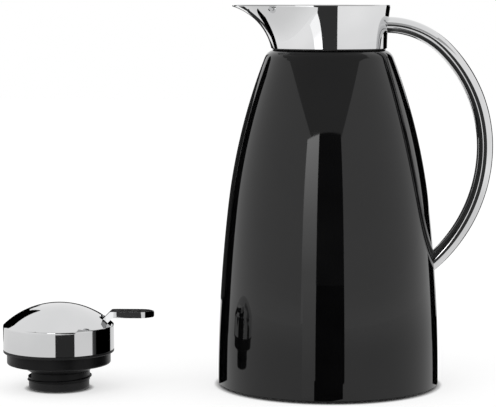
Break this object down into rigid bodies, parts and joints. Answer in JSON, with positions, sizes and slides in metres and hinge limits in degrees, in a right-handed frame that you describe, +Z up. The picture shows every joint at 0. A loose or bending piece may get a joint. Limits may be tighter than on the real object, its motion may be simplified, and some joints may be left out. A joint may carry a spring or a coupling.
{
  "type": "thermal carafe",
  "caption": "Tapered vacuum carafe with gloss shell, bright spouted collar and bow handle, and a domed screw stopper with thumb lever and lift valve standing beside it.",
  "frame": {"origin": "on the carafe's axis, on the surface it stands on", "axes": "+X to the handle, -X to the spout, +Z up the carafe's axis"},
  "size_m": [0.3199, 0.1454, 0.25],
  "materials": {
    "black_lacquer": "high gloss black lacquer on steel",
    "chrome": "bright mirror chrome",
    "black_plastic": "satin moulded black",
    "rubber": "matt black rubber",
    "silicone": "black silicone",
    "silvered_glass": "double-walled glass, silvered inside",
    "steel": "plain stainless steel"
  },
  "bodies": {
    "carafe": {"outer_shell": "black_lacquer", "base_cover": "black_plastic", "base_insert_ring": "black_plastic", "anti_slip_ring": "rubber", "collar": "chrome", "collar_gasket": "rubber", "neck_ring": "black_plastic", "neck_nut": "black_plastic", "glass_liner": "silvered_glass", "liner_support": "rubber", "liner_mouth_seal": "silicone", "handle": "chrome", "handle_washer": "steel", "handle_screw": "steel"},
    "stopper_seal": {"neck_seal": "silicone"},
    "stopper": {"stopper_body": "black_plastic", "collar_lip_seal": "silicone", "cap_shell": "chrome", "lever_bracket": "steel", "bracket_screws": "steel", "lever_pin": "steel", "valve_spring": "steel"},
    "lever": {"thumb_lever": "chrome"},
    "valve": {"valve_stem": "steel", "stem_nut": "steel", "valve_seal": "silicone", "valve_disc": "black_plastic"}
  },
  "joints": [
    {"name": "stopper_lift", "type": "slide", "parent": "carafe", "child": "stopper_seal", "axis": [0, 0, 1], "range_m": [0, 0.25]},
    {"name": "stopper_turn", "type": "hinge", "parent": "stopper_seal", "child": "stopper", "pos_m": [-0.1762, -0.023, 0], "axis": [0, 0, 1], "range_deg": [0, 270]},
    {"name": "lever_press", "type": "hinge", "parent": "stopper", "child": "lever", "pos_m": [-0.14877, -0.023, 0.0382], "axis": [0, 1, 0], "range_deg": [0, 9], "stiffness_Nm_per_rad": 0.4, "springref_deg": -14.32},
    {"name": "valve_lift", "type": "slide", "parent": "stopper", "child": "valve", "axis": [0, 0, 1], "range_m": [0, 0.0045], "deforming": ["valve_spring"]}
  ],
  "couplings": [
    {"joint": "valve_lift", "follows": "lever_press", "m_per_rad": 0.027431}
  ]
}
